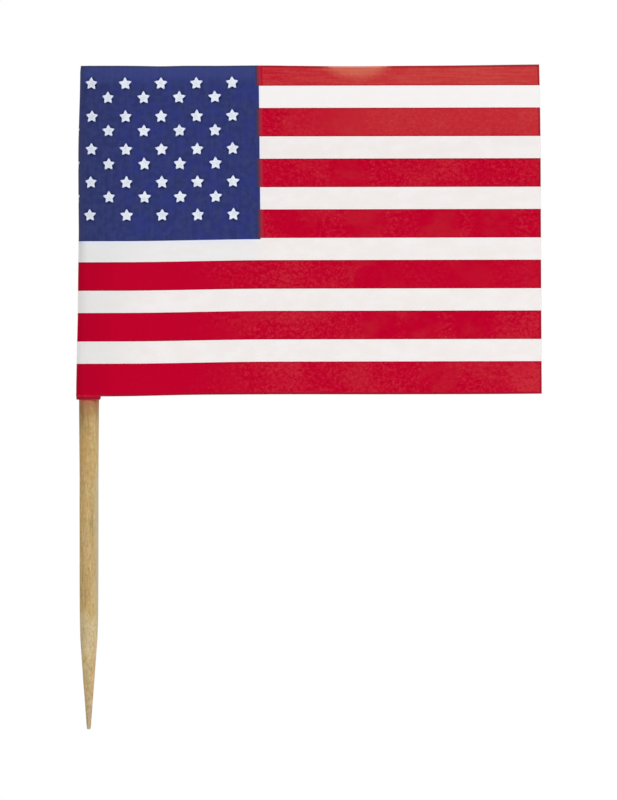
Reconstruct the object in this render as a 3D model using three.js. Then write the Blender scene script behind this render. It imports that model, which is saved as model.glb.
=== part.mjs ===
// Party flag pick: a round pointed wooden pick with one strip of printed paper folded round its upper half
// and pasted leaf to leaf. Millimetres, +Z up. The origin is the middle of the blunt point, the pick stands
// along +Z, the flag reaches out along +X and its flat front leaf faces -Y.

import * as THREE from 'three';

// Wooden pick, from the blunt point up
const pickLength = 65;
const pointRadius = 0.16;
const taperLength = 8.9; // straight taper above the point
const taperRadius = 0.82;
const shoulderRise = 2.3; // rounding between the taper and the shank
const shoulderRadius = 0.905;
const bellyHeight = 32.5; // the pick is widest here
const bellyRadius = 1.02;
const headRadius = 0.7; // cut top end, hidden in the paper
const headChamfer = 0.12;
const facets = 24; // flats round the pick and the paper that follows it

// Paper strip, folded at its middle round the pick
const paperThickness = 0.12;
const paperOverHead = 0.34; // the paper stands this much above the pick's head
const sleeveLength = 32.84; // top edge to the untrimmed mouth round the pick
const lipDepth = 0.3; // the mouth hangs this far below the trimmed leaves
const lipCorner = 0.05; // width of the corner where the trim meets the mouth
const footRise = 0.3; // the trimmed foot climbs this much on its way to the fly edge
const flagReach = 44.3; // pick axis to the fly edge, at the top
const flySlant = 0.26; // the fly edge leans out by this much at the foot
const wrapAngle = 225; // degrees of paper lying on the pick, from its front round to the back
const tentRun = 2; // from the sleeve's side to the line where the two leaves meet
const bendSteps = 6; // flats in each leaf's bend between the sleeve and that line

// Dried paste
const pasteAtHead = 0.045; // between pick and paper
const pasteAtMouth = 0.13;
const mouthClear = 0.2; // the paste stops this far inside the mouth
const filmThickness = 0.05; // between the two leaves
const filmInset = 0.5; // the film stops short of the cut edges

// Print: thirteen bands, the top one cut narrow by the trim, and a blue field over the fold
const topBand = 1.94;
const paleBand = 2.24;
const redBand = 2.745;
const bandCount = 13;
const fieldWidth = 16.8; // pick axis to the field's edge, on both leaves
const fieldBands = 7;

const wood = new THREE.Color(0xbc9c6b);
const paper = new THREE.Color(0xf0ebe8);
const red = new THREE.Color(0xbe142b);
const blue = new THREE.Color(0x343c72);
const paste = new THREE.Color(0xddd4bd);

const flagTop = pickLength + paperOverHead;
const mouthHeight = flagTop - sleeveLength;
const facetAngle = (2 * Math.PI) / facets;
const wrapSteps = Math.round((THREE.MathUtils.degToRad(wrapAngle)) / facetAngle);

// The pick's outline as radius and height, with a rounded shoulder
const shoulderCurve = new THREE.QuadraticBezierCurve(
  new THREE.Vector2(taperRadius, taperLength),
  new THREE.Vector2(shoulderRadius, taperLength + shoulderRise / 2),
  new THREE.Vector2(shoulderRadius, taperLength + shoulderRise),
);
const pickSide = [
  new THREE.Vector2(pointRadius, 0),
  ...shoulderCurve.getPoints(5),
  new THREE.Vector2(bellyRadius, bellyHeight),
  new THREE.Vector2(headRadius, pickLength - headChamfer),
].sort((a, b) => a.y - b.y);

function pickRadiusAt(height) {
  let upper = pickSide.findIndex((point) => point.y >= height);
  if (upper < 0) upper = pickSide.length - 1;
  if (upper < 1) upper = 1;
  const [low, high] = [pickSide[upper - 1], pickSide[upper]];
  const share = (height - low.y) / (high.y - low.y);
  return low.x + (high.x - low.x) * share;
}

function pasteGapAt(height) {
  const share = (height - mouthHeight) / sleeveLength;
  return pasteAtMouth + (pasteAtHead - pasteAtMouth) * share;
}

// The leaves lie flat in one upright plane, which touches the sleeve at its mouth. Higher up the pick thins,
// so there the front leaf bends back from that plane to reach the sleeve.
const sleeveRadiusAt = (height) => pickRadiusAt(height) + pasteGapAt(height);
const flyAt = (height) => flagReach + (flySlant * (flagTop - height)) / sleeveLength;
const meetingAt = (height) => sleeveRadiusAt(height) + tentRun;
const leafDepth = sleeveRadiusAt(mouthHeight);
const lipReach = leafDepth + paperThickness;

// Every layer bends at the same heights as the pick, so that their faces lie on each other
function heightsBetween(from, to) {
  const bends = pickSide.map((point) => point.y).filter((height) => height > from && height < to);
  return [from, ...bends, to];
}

// One place on the folded strip's inner side, with the direction its printed side faces
const place = (x, y, facing) => ({ x, y, facing });
const leafPlace = (x, y, side) => place(x, y, new THREE.Vector2(0, side));

function sleevePlace(radius, step) {
  const angle = -Math.PI / 2 - step * facetAngle;
  const facing = new THREE.Vector2(Math.cos(angle), Math.sin(angle));
  return place(radius * facing.x, radius * facing.y, facing);
}

// In front of the pick the leaf eases from the sleeve to the flat plane
function frontBendPlace(height, share) {
  const radius = sleeveRadiusAt(height);
  const run = meetingAt(height);
  const step = leafDepth - radius;
  const ease = share * share * (3 - 2 * share);
  const slope = (-step * 6 * share * (1 - share)) / run;
  const facing = new THREE.Vector2(slope, -1).normalize();
  return place(run * share, -radius - step * ease, facing);
}

// Behind the pick the back leaf leaves the sleeve at a tangent and settles on the front leaf
function backBendPlace(height, share) {
  const start = sleevePlace(sleeveRadiusAt(height), wrapSteps);
  const from = new THREE.Vector2(start.x, start.y);
  const to = new THREE.Vector2(meetingAt(height), filmThickness - leafDepth);
  const pull = 0.4 * from.distanceTo(to);
  const leaving = new THREE.Vector2(start.facing.y, -start.facing.x);
  const curve = new THREE.CubicBezierCurve(
    from,
    from.clone().addScaledVector(leaving, pull),
    to.clone().add(new THREE.Vector2(-pull, 0)),
    to,
  );
  const point = curve.getPoint(share);
  const along = curve.getTangent(share);
  return place(point.x, point.y, new THREE.Vector2(-along.y, along.x));
}

// The strip as columns from the front fly edge, round the pick, to the back fly edge. Each column gives its
// place at a height and whether the trim has cut its foot.
function sheetColumns() {
  const front = (xAt) => ({ trimmed: true, at: (z) => leafPlace(xAt(z), -leafDepth, -1) });
  const back = (xAt) => ({ trimmed: true, at: (z) => leafPlace(xAt(z), filmThickness - leafDepth, 1) });
  const columns = [front(flyAt), front(() => fieldWidth)];
  const lipShare = lipReach / meetingAt(mouthHeight);
  const cornerShare = (lipReach + lipCorner) / meetingAt(mouthHeight);
  const shares = [lipShare, cornerShare];
  for (let step = 1; step <= bendSteps; step += 1) shares.push(step / bendSteps);
  for (const share of shares.sort((a, b) => b - a)) {
    columns.push({ trimmed: share > lipShare, at: (z) => frontBendPlace(z, share) });
  }
  for (let step = 0; step <= wrapSteps; step += 1) {
    columns.push({ trimmed: false, at: (z) => sleevePlace(sleeveRadiusAt(z), step) });
  }
  for (let step = 1; step <= bendSteps; step += 1) {
    columns.push({ trimmed: true, at: (z) => backBendPlace(z, step / bendSteps) });
  }
  columns.push(back(() => fieldWidth), back(flyAt));
  return columns;
}

function footOf(column) {
  if (!column.trimmed) return mouthHeight;
  const along = (column.at(mouthHeight).x - lipReach) / (flyAt(mouthHeight) - lipReach);
  return mouthHeight + lipDepth + footRise * Math.max(along, 0);
}

// Heights where one printed band gives way to the next, from the top down
function bandEdges() {
  const edges = [flagTop - topBand];
  while (edges.length < bandCount - 1) {
    edges.push(edges.at(-1) - (edges.length % 2 ? paleBand : redBand));
  }
  return edges;
}

function inkAt(x, height) {
  const edges = bandEdges();
  const band = edges.filter((edge) => edge > height).length;
  if (x < fieldWidth && band < fieldBands) return blue;
  return band % 2 ? paper : red;
}

// A closed solid from rows of point pairs, an outer and an inner skin. inkOf colours the outer skin.
function layeredSolid(rows, closed = false, inkOf = null) {
  const positions = [];
  const colours = [];
  const addTriangle = (corners, ink) => {
    const [a, b, c] = corners;
    if (a.distanceTo(b) < 1e-6 || b.distanceTo(c) < 1e-6 || c.distanceTo(a) < 1e-6) return;
    for (const corner of corners) {
      positions.push(corner.x, corner.y, corner.z);
      colours.push(ink.r, ink.g, ink.b);
    }
  };
  const addQuad = (a, b, c, d, ink = paper) => {
    addTriangle([a, b, c], ink);
    addTriangle([a, c, d], ink);
  };
  const across = rows[0].length;
  const spans = closed ? across : across - 1;
  const top = rows.length - 1;
  for (let i = 0; i < spans; i += 1) {
    const next = (i + 1) % across;
    for (let j = 0; j < top; j += 1) {
      const [low, high] = [rows[j], rows[j + 1]];
      const ink = inkOf ? inkOf(low[i], low[next], high[i], high[next]) : paper;
      addQuad(low[i].outer, high[i].outer, high[next].outer, low[next].outer, ink);
      addQuad(low[i].inner, low[next].inner, high[next].inner, high[i].inner);
    }
    addQuad(rows[top][i].outer, rows[top][i].inner, rows[top][next].inner, rows[top][next].outer);
    addQuad(rows[0][i].outer, rows[0][next].outer, rows[0][next].inner, rows[0][i].inner);
  }
  for (let j = 0; j < top && !closed; j += 1) {
    const [low, high] = [rows[j], rows[j + 1]];
    const end = across - 1;
    addQuad(low[0].outer, low[0].inner, high[0].inner, high[0].outer);
    addQuad(low[end].inner, low[end].outer, high[end].outer, high[end].inner);
  }
  const geometry = new THREE.BufferGeometry();
  geometry.setAttribute('position', new THREE.Float32BufferAttribute(positions, 3));
  if (inkOf) geometry.setAttribute('color', new THREE.Float32BufferAttribute(colours, 3));
  geometry.computeVertexNormals();
  return geometry;
}

function finish(name, geometry, color, roughness, extra = {}) {
  const material = new THREE.MeshStandardMaterial({ color, roughness, metalness: 0, ...extra });
  const mesh = new THREE.Mesh(geometry, material);
  mesh.name = name;
  return mesh;
}

function woodenPick() {
  const outline = [
    new THREE.Vector2(0, 0),
    ...pickSide,
    new THREE.Vector2(headRadius - headChamfer, pickLength),
    new THREE.Vector2(0, pickLength),
  ];
  const mesh = finish('wooden_pick', new THREE.LatheGeometry(outline, facets), wood, 0.7);
  mesh.rotation.x = Math.PI / 2; // the lathe's own axis is Y
  return mesh;
}

function paperFlag() {
  const columns = sheetColumns();
  const printed = [...bandEdges(), ...heightsBetween(mouthHeight, flagTop)].filter((z) => z >= mouthHeight);
  const heights = printed.sort((a, b) => a - b);
  const rows = heights.map((height) =>
    columns.map((column) => {
      const z = Math.max(height, footOf(column));
      const { x, y, facing } = column.at(z);
      const inner = new THREE.Vector3(x, y, z);
      const outward = new THREE.Vector3(facing.x, facing.y, 0);
      return { inner, outer: inner.clone().addScaledVector(outward, paperThickness) };
    }),
  );
  const inkOf = (...corners) => {
    const middle = corners.reduce((sum, corner) => sum.add(corner.inner), new THREE.Vector3());
    middle.divideScalar(corners.length);
    return inkAt(middle.x, middle.z);
  };
  return finish('paper_flag', layeredSolid(rows, false, inkOf), 0xffffff, 0.62, { vertexColors: true });
}

// The paste round the pick, from just inside the mouth to the chamfer of its head
function pickPaste() {
  const pointAt = (radius, step, z) => {
    const { x, y } = sleevePlace(radius, step);
    return new THREE.Vector3(x, y, z);
  };
  const rows = heightsBetween(mouthHeight + mouthClear, pickLength - headChamfer).map((z) => {
    const ring = [];
    for (let step = 0; step < facets; step += 1) {
      ring.push({ outer: pointAt(sleeveRadiusAt(z), step, z), inner: pointAt(pickRadiusAt(z), step, z) });
    }
    return ring;
  });
  return finish('pick_paste', layeredSolid(rows, true), paste, 0.35);
}

// The film between the leaves, from the line where they meet to just inside the cut edges
function leafPaste() {
  const lowest = mouthHeight + lipDepth + footRise + filmInset;
  const rows = heightsBetween(lowest, flagTop - filmInset).map((z) =>
    [flyAt(z) - filmInset, meetingAt(z)].map((x) => ({
      outer: new THREE.Vector3(x, -leafDepth, z),
      inner: new THREE.Vector3(x, filmThickness - leafDepth, z),
    })),
  );
  return finish('leaf_paste', layeredSolid(rows), paste, 0.35);
}

const flagPick = new THREE.Group();
flagPick.name = 'flag_pick';
const pastedPick = new THREE.Group();
pastedPick.name = 'pick_with_paste';
pastedPick.add(woodenPick(), pickPaste());
const flag = new THREE.Group();
flag.name = 'flag';
flag.add(paperFlag(), leafPaste());
flagPick.add(pastedPick, flag);

export default flagPick;
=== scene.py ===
# Party flag pick: the turned wooden pick, the printed paper flag folded round it and the dried paste.
# Geometry is worked out in millimetres and turned into metres where a mesh is made.
import math
import bpy
import numpy as np
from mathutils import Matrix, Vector
from mathutils.geometry import delaunay_2d_cdt


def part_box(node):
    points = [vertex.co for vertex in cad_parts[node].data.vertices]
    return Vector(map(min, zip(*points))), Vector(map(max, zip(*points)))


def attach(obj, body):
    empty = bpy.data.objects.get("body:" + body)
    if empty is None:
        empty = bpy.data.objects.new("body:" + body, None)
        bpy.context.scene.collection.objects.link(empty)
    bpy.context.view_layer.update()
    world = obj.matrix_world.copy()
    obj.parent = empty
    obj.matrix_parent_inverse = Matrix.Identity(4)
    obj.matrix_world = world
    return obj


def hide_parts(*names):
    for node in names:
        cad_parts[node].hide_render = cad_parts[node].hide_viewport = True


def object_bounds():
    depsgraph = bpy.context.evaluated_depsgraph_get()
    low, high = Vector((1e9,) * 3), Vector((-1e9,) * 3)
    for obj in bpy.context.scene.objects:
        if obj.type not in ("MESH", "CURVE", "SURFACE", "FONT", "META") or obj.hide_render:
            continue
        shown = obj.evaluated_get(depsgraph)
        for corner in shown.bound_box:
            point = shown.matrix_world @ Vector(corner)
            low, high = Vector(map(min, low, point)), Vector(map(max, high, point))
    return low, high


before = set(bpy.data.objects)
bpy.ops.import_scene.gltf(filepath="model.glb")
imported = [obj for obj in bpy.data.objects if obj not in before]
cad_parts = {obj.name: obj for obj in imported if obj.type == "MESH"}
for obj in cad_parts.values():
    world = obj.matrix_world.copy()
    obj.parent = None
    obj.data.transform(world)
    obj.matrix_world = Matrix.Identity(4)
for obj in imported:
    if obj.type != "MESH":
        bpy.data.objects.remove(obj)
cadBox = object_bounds()
mm = 0.001


# Lowest and highest corner of a CAD node, in millimetres
def nodeBox(node):
    return [np.array(corner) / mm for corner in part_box(node)]


def addObject(name, data):
    made = bpy.data.objects.new(name, data)
    bpy.context.scene.collection.objects.link(made)
    return made


pickHigh = nodeBox("wooden_pick")[1]
flagLow, flagHigh = nodeBox("paper_flag")
print("frame loaded, flag pick", round(flagHigh[2], 2), "mm tall")

# Camera: square on to the front leaf, placed from the scale of the photograph
photo = {
    "columns": 617,
    "rows": 800,
    "pixelsPerMm": 10.147,
    "pickColumn": 89.05,
    "pointRow": 729.25,
    "distance": 1200,  # long lens, so the sides of the pick run parallel
    "sensor": 36,
}


def makeCamera(photo):
    camera = addObject("camera", bpy.data.cameras.new("camera"))
    camera.data.sensor_width = photo["sensor"]
    camera.data.lens = photo["sensor"] * photo["distance"] * photo["pixelsPerMm"] / photo["rows"]
    camera.data.clip_start = 0.01
    right = (photo["columns"] / 2 - photo["pickColumn"]) / photo["pixelsPerMm"]
    up = (photo["pointRow"] - photo["rows"] / 2) / photo["pixelsPerMm"]
    camera.location = np.array([right, -photo["distance"], up]) * mm
    camera.rotation_euler = (math.radians(90), 0, 0)
    bpy.context.scene.camera = camera


makeCamera(photo)
print("camera set")


# Helpers for shapes
def ease(share):
    share = np.clip(share, 0, 1)
    return share * share * (3 - 2 * share)


def bump(at, middle, width):
    return np.exp(-(((at - middle) / width) ** 2))


def unit(vectors):
    return vectors / np.linalg.norm(vectors, axis=-1, keepdims=True).clip(1e-9)


# A smooth line through a few (place, value) points, read at many places
def smoothLine(points, places):
    knots, values = np.array(sorted(points), float).T
    slopes = np.gradient(values, knots)
    places = np.clip(places, knots[0], knots[-1])
    cell = np.clip(np.searchsorted(knots, places, side="right") - 1, 0, len(knots) - 2)
    span = knots[cell + 1] - knots[cell]
    t = (places - knots[cell]) / span
    rise = t * t * (3 - 2 * t)
    leaving = t * (1 - t) ** 2 * span * slopes[cell]
    arriving = t * t * (t - 1) * span * slopes[cell + 1]
    return values[cell] * (1 - rise) + values[cell + 1] * rise + leaving + arriving


# Handmade unevenness between about -1 and 1, the same on every run
def unevenness(across, along, turn):
    waves = [
        np.sin(step * across + turn * 1.7 * step) * np.cos(step * 0.8 * along + turn * 2.3 * step) / step
        for step in range(1, 6)
    ]
    return sum(waves) / 1.6


# Faces over a grid of points. closed joins the last column to the first.
def gridFaces(columns, rows, closed):
    faces = []
    for low in range(0, (rows - 1) * columns, columns):
        for here in range(columns if closed else columns - 1):
            following = (here + 1) % columns
            faces.append((low + here, low + following, low + columns + following, low + columns + here))
    return faces


# Free edges of a set of faces, each with the direction its face gives it
def freeEdges(faces):
    directed = {(a, b) for face in faces for a, b in zip(face, face[1:] + face[:1])}
    return sorted(edge for edge in directed if edge[::-1] not in directed)


def addMesh(name, points, faces):
    mesh = bpy.data.meshes.new(name)
    mesh.from_pydata([tuple(point) for point in np.asarray(points) * mm], [], faces)
    return addObject(name, mesh)


def makePiece(name, points, faces, finishes, replaced):
    piece = addMesh(name, points, faces)
    for finish in finishes:
        piece.data.materials.append(finish)
    piece.data.polygons.foreach_set("use_smooth", [True] * len(faces))
    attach(piece, "root")
    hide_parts(replaced)
    return piece.data


# The flat map that the finishes are baked on, one pair for each corner of each face
def mapFlat(mesh, corners):
    layer = mesh.uv_layers.new(name="OFBake")
    layer.data.foreach_set("uv", np.asarray(corners, np.float32).ravel())


# Helpers for finishes. A tone is the levels of red, green and blue from 0 to 255.
def colour(tone):
    shares = [level / 255 for level in tone]
    linear = [s / 12.92 if s <= 0.04045 else ((s + 0.055) / 1.055) ** 2.4 for s in shares]
    return (*linear, 1)


def isSocket(value):
    return isinstance(value, bpy.types.NodeSocket)


# Adds a node with its sockets joined or set, beside its first joined socket or in a given tree
def addNode(kind, sockets, tree=None, **settings):
    if tree is None:
        tree = next(value.id_data for value in sockets.values() if isSocket(value))
    made = tree.nodes.new("ShaderNode" + kind)
    for name, value in settings.items():
        setattr(made, name, value)
    for name, value in sockets.items():
        if isSocket(value):
            tree.links.new(value, made.inputs[name])
        else:
            made.inputs[name].default_value = value
    return made


def combine(operation, result, *others):
    for other in others:
        result = addNode("Math", {0: result, 1: other}, operation=operation).outputs[0]
    return result


def plus(*values):
    return combine("ADD", *values)


def times(*values):
    return combine("MULTIPLY", *values)


def blend(first, second, share):
    return plus(times(first, share), times(second, 1 - share))


# A value carried from one range to another, with soft ends
def spread(value, low, high, start=0, end=1):
    sockets = {"Value": value, "From Min": low, "From Max": high, "To Min": start, "To Max": end}
    return addNode("MapRange", sockets, interpolation_type="SMOOTHSTEP").outputs[0]


# Cloudy or streaky variation. grain is how many patches there are to a millimetre along each axis.
def cloud(place, grain, detail=3, shift=(0, 0, 0), roughness=0.55, distortion=0):
    scaled = addNode("Mapping", {"Vector": place, "Scale": grain, "Location": shift}).outputs[0]
    sockets = {"Scale": 1, "Detail": detail, "Roughness": roughness, "Distortion": distortion}
    return addNode("TexNoise", {"Vector": scaled, **sockets}).outputs["Fac"]


def distanceFrom(middle, place):
    return addNode("VectorMath", {0: place, 1: middle}, operation="DISTANCE").outputs["Value"]


# A tone with coats over it, each of them a share and a tone or a colour already made
def coats(under, *layers):
    for share, over in layers:
        pair = [each if isSocket(each) else colour(each) for each in (under, over)]
        under = addNode("Mix", {0: share, 6: pair[0], 7: pair[1]}, data_type="RGBA").outputs[2]
    return under


def startFinish(name):
    finish = bpy.data.materials.new(name)
    finish.use_nodes = True
    return finish, finish.node_tree


# Place on a piece in millimetres
def placeOn(tree):
    coords = addNode("TexCoord", {}, tree).outputs["Object"]
    return addNode("Mapping", {"Vector": coords, "Scale": [1 / mm] * 3}).outputs[0]


# Joins a finish up. Each layer of relief is a height between 0 and 1, and its depth in millimetres.
def endFinish(finish, tone, roughness, gloss, *relief):
    joined = {"Base Color": tone, "Roughness": roughness}
    for height, depth in relief:
        below = {"Normal": joined["Normal"]} if "Normal" in joined else {}
        sockets = {"Height": height, "Distance": depth * mm, "Strength": 1, **below}
        joined["Normal"] = addNode("Bump", sockets).outputs[0]
    shader = finish.node_tree.nodes["Principled BSDF"]
    for name, value in joined.items():
        finish.node_tree.links.new(value, shader.inputs[name])
    shader.inputs["Specular IOR Level"].default_value = gloss
    return finish


# Wooden pick
pick = {
    "side": [  # height above the point, radius
        (0, 0.165), (0.27, 0.21), (0.86, 0.249), (1.75, 0.319), (2.64, 0.384), (3.52, 0.452),
        (4.41, 0.525), (5.3, 0.588), (6.18, 0.651), (7.07, 0.716), (7.96, 0.778), (8.84, 0.838),
        (9.73, 0.872), (10.62, 0.894), (11.5, 0.907), (13.3, 0.92), (16, 0.93), (19.5, 0.936),
        (22.5, 0.938), (24.8, 0.933), (26.6, 0.946), (29.3, 0.966), (31, 0.977), (32.45, 0.985),
        (48, 0.866), (64.88, 0.7),
    ],
    "chamfer": 0.12,
    "around": 72,
    "rings": 330,
    "outOfRound": 0.008,
    "toolMarks": 0.006,  # depth of the turning marks on the taper
    "tipLean": 0.024,  # the taper stands this far to the left of the axis
    "woodTones": [(158, 128, 76), (189, 159, 101), (206, 177, 124)],
    "patches": [  # tone, shift of the cloud, and the level of it from which the tone shows
        ((196, 150, 88), (11, 2, 5), 0.52), ((198, 170, 134), (5, 17, 9), 0.55),
        ((150, 138, 78), (21, 5, 0), 0.56),
    ],
    "taperTone": (204, 186, 147),
    "pointTone": (172, 154, 123),
    "poreTone": (138, 104, 62),
    "sawnTones": [(150, 118, 76), (194, 166, 118)],
    "paintedShadeAndSheen": [  # painted shade on both sides below the mouth and a pale painted sheen on the right: how it sets in along x, from what height, up to what height, and its tone
        ((-0.75, -0.35, 0.55, 0), (27.5, 31), (65, 64), (118, 84, 44)),
        ((0.3, 0.8, 0, 0.4), (29, 31.5), (65, 64), (124, 90, 52)),
        ((0.6, 0.9, 0, 0.36), (8.5, 11), (65, 64), (184, 170, 140)),
        ((0.25, 0.85, 0, 0.55), (8, 13), (27, 23.5), (190, 182, 156)),
    ],
    "stainTone": (158, 102, 72),  # ink and paste that ran out of the flag
    "stainFoot": 31.55,
    "mouthTone": (196, 92, 76),
    "dampTone": (150, 104, 60),
    "dampFoot": 30.8,
}


def pickRadius(height):
    return smoothLine(pick["side"], height)


# Damp paste has drawn a little red and brown out of the print, just under the paper, and along its sides
# the shank has painted shade below the mouth and a pale painted sheen on its right. All of it ends a
# little way up inside the paper.
def stainsAndPaintedLight(side, height, ragged):
    inside = spread(height, 33.5, 37, 1, 0)
    darkFoot, stain = pick["dampFoot"], pick["stainFoot"]
    layers = [(spread(ragged, darkFoot - 0.3, darkFoot + 0.4, 0, 0.55), pick["dampTone"])]
    for across, foot, top, tone in pick["paintedShadeAndSheen"]:
        layers.append((times(spread(height, *foot), spread(height, *top), spread(side, *across)), tone))
    layers.append((spread(ragged, stain - 0.2, stain + 0.45, 0, 0.62), pick["stainTone"]))
    layers.append((spread(height, 32.05, 32.4, 0, 0.7), pick["mouthTone"]))
    return [(times(share, inside), tone) for share, tone in layers]


def turnedWood():
    finish, tree = startFinish("turnedWood")
    place = placeOn(tree)
    side, _, height = addNode("SeparateXYZ", {0: place}).outputs
    broad = cloud(place, (1.2, 1.2, 0.09), distortion=0.5)
    fine = cloud(place, (6, 6, 0.4), 4, (3, 1, 7), distortion=0.4)
    hair = cloud(place, (20, 20, 1.1), 2, (9, 4, 2))
    grain = blend(broad, fine, 0.5)
    dark, middle, light = pick["woodTones"]
    wood = coats(dark, (spread(grain, 0.36, 0.5), middle), (spread(grain, 0.5, 0.64), light))

    # Short warm, pinkish and greenish patches lie along the grain, with thin dark pores
    for tone, shift, low in pick["patches"]:
        patch = cloud(place, (1.3, 1.3, 0.28), shift=shift, distortion=0.6)
        wood = coats(wood, (spread(patch, low, low + 0.12, 0, 0.5), tone))
    wood = coats(wood, (spread(hair, 0.58, 0.72, 0, 0.4), pick["poreTone"]))

    # The taper is cut across the grain, so it is paler and shows faint turning marks. Flecks, where the
    # knife lifted the fibres, are strongest there.
    pale = spread(plus(height, times(broad, 3.2)), 12.2, 13.4, 0.75, 0)
    marks = cloud(place, (0.9, 0.9, 3.2), 2, (2, 8, 5))
    onTaper = spread(height, 10.5, 12.5, 1, 0.15)
    blotch = cloud(place, (1.6, 1.6, 1.1), shift=(13, 3, 8), distortion=0.4)
    fleck = cloud(place, (4.5, 4.5, 2.2), shift=(17, 6, 3), roughness=0.7)
    lifted = spread(height, 8, 13, 1, 0.75)
    wood = coats(
        wood,
        (times(pale, spread(height, 4.5, 9, 0.4, 1)), pick["taperTone"]),
        (times(spread(marks, 0.45, 0.7, 0, 0.16), onTaper), dark),
        (times(spread(blotch, 0.48, 0.62, 0, 0.42), spread(height, 8.5, 5.5)), (190, 148, 98)),
        (spread(height, 0.5, 5.5, 0.75, 0), pick["pointTone"]),
        (times(spread(fleck, 0.48, 0.34, 0, 0.55), lifted), (150, 118, 74)),
        (times(spread(fleck, 0.52, 0.66, 0, 0.36), lifted), (226, 206, 162)),
    )

    # The head is sawn across the grain, so it shows year rings and pores
    years = cloud(place, (5.5, 0.5, 1), 2, (4, 4, 1), distortion=0.3)
    dots = cloud(place, (26, 26, 1), shift=(6, 1, 1))
    dull, clear = pick["sawnTones"]
    sawn = coats(dull, (spread(blend(years, dots, 0.55), 0.4, 0.6), clear))

    ragged = plus(height, spread(fine, 0.3, 0.7, 0.35, -0.35), spread(broad, 0.35, 0.65, 0.3, -0.3))
    wood = coats(wood, (spread(height, 64.9, 64.97), sawn), *stainsAndPaintedLight(side, height, ragged))
    relief = (fine, 0.012), (hair, 0.006), (times(marks, onTaper), 0.01)
    return endFinish(finish, wood, spread(grain, 0.3, 0.7, 0.62, 0.8), 0.3, *relief)


def makePick():
    top, around = pickHigh[2], pick["around"]
    heights = np.linspace(0, top - pick["chamfer"], pick["rings"])
    radii = pickRadius(heights)
    heights[0] = 0.04
    heights = np.concatenate([[0, 0.012], heights, [top - 0.03, top, top]])
    foot, head = radii[0], radii[-1]
    headRadii = [head - 0.08, head - pick["chamfer"], 0.5 * head]
    radii = np.concatenate([[0.5 * foot, 0.88 * foot], radii, headRadii])
    turns = np.linspace(0, 2 * math.pi, around, endpoint=False)
    turn, height = np.meshgrid(turns, heights)
    radius = np.meshgrid(turns, radii)[1]
    shape = pick["outOfRound"] * unevenness(turn + 0.4 * np.sin(height / 9), height / 5.5, 2)
    onTaper = ease((11.5 - height) / 2) * ease((radius - 0.16) / 0.1)
    shape = shape + pick["toolMarks"] * onTaper * np.sin(height * 11 + 2 * np.sin(turn))
    radius = radius * (1 + shape)
    x = radius * np.cos(turn) - pick["tipLean"] * ease((12 - height) / 6)
    y = radius * np.sin(turn)
    points = np.stack([x, y, height], axis=-1).reshape(-1, 3)
    faces = gridFaces(around, len(heights), True)
    faces += [tuple(range(around))[::-1], tuple(range(len(points) - around, len(points)))]
    mesh = makePiece("turned_pick", points, faces, [turnedWood()], "wooden_pick")

    # Flat map: three lengths of the pick side by side, with the two ends between them
    lengths = np.concatenate([[0], np.cumsum(np.hypot(np.diff(heights), np.diff(radii)))])
    third = lengths[-1] / 3.001
    corners = []
    for r in range(len(heights) - 1):
        column = int(lengths[r] // third)
        low, high = (lengths[r:r + 2] - column * third) / (third * 1.03) + 0.01
        for c in range(around):
            left, right = 0.02 + 0.33 * column + 0.29 * np.array([c, c + 1]) / around
            corners += [(left, low), (right, low), (right, high), (left, high)]
    for up, order in ((0.1, turns[::-1]), (0.2, turns)):
        corners += [(0.33 + 0.012 * math.cos(turn), up + 0.012 * math.sin(turn)) for turn in order]
    mapFlat(mesh, corners)


makePick()
print("pick turned")

# Paper flag
paper = {
    "thickness": 0.12,
    "filmThickness": 0.05,
    "sleeve": [  # height, radius of the paper round the pick at its left side
        (32.4, 1.26), (33.1, 1.27), (35.5, 1.235), (40.2, 1.135), (45, 1.075), (48.6, 1.025),
        (52.1, 1.045), (55.65, 1.06), (58, 1.05), (60.4, 0.975), (62.7, 0.91), (65.1, 0.87), (66, 0.86),
    ],
    "hug": 0.13,  # the paper's front lies this far outside the wood
    "leaving": (4.5, 8),  # degrees short of square on where the front leaf leaves the pick: mouth, top
    "wrapEnd": 225,  # degrees round the pick, from the front, to where the back leaf leaves it
    "backRun": 2,
    "mouth": -0.01,  # the untrimmed mouth ends this far above the lowest point of the CAD flag
    "lipReach": 1.11,
    "trimFoot": [
        (1.1, 32.8), (4, 32.83), (6, 32.87), (9, 32.94), (16, 33), (30, 33.01), (40, 33.04), (45, 33.08),
    ],
    "trimTop": [
        (-2, 0.02), (5, 0), (7.2, -0.03), (9, 0.01), (13, 0.02), (16.5, 0.05), (20.8, 0.01),
        (25.7, -0.03), (30.6, 0.01), (34.6, 0.035), (38.5, 0.075), (41.5, 0.12), (45, 0.16),
    ],
    "trimFly": [(32, 44.6), (40, 44.55), (51, 44.5), (60.4, 44.44), (65.1, 44.35), (66, 44.33)],
    "lipRoll": 0.01,  # the mouth is rolled in by this much
    "lipHeight": 0.34,
    "headPinch": 0.05,  # above the pick's head the fold is pinched in
    "topCurl": 0.3,  # the top edge leans back by this much
    "flyCurl": 0.12,
    "cutRounding": 0.018,
}

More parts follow.
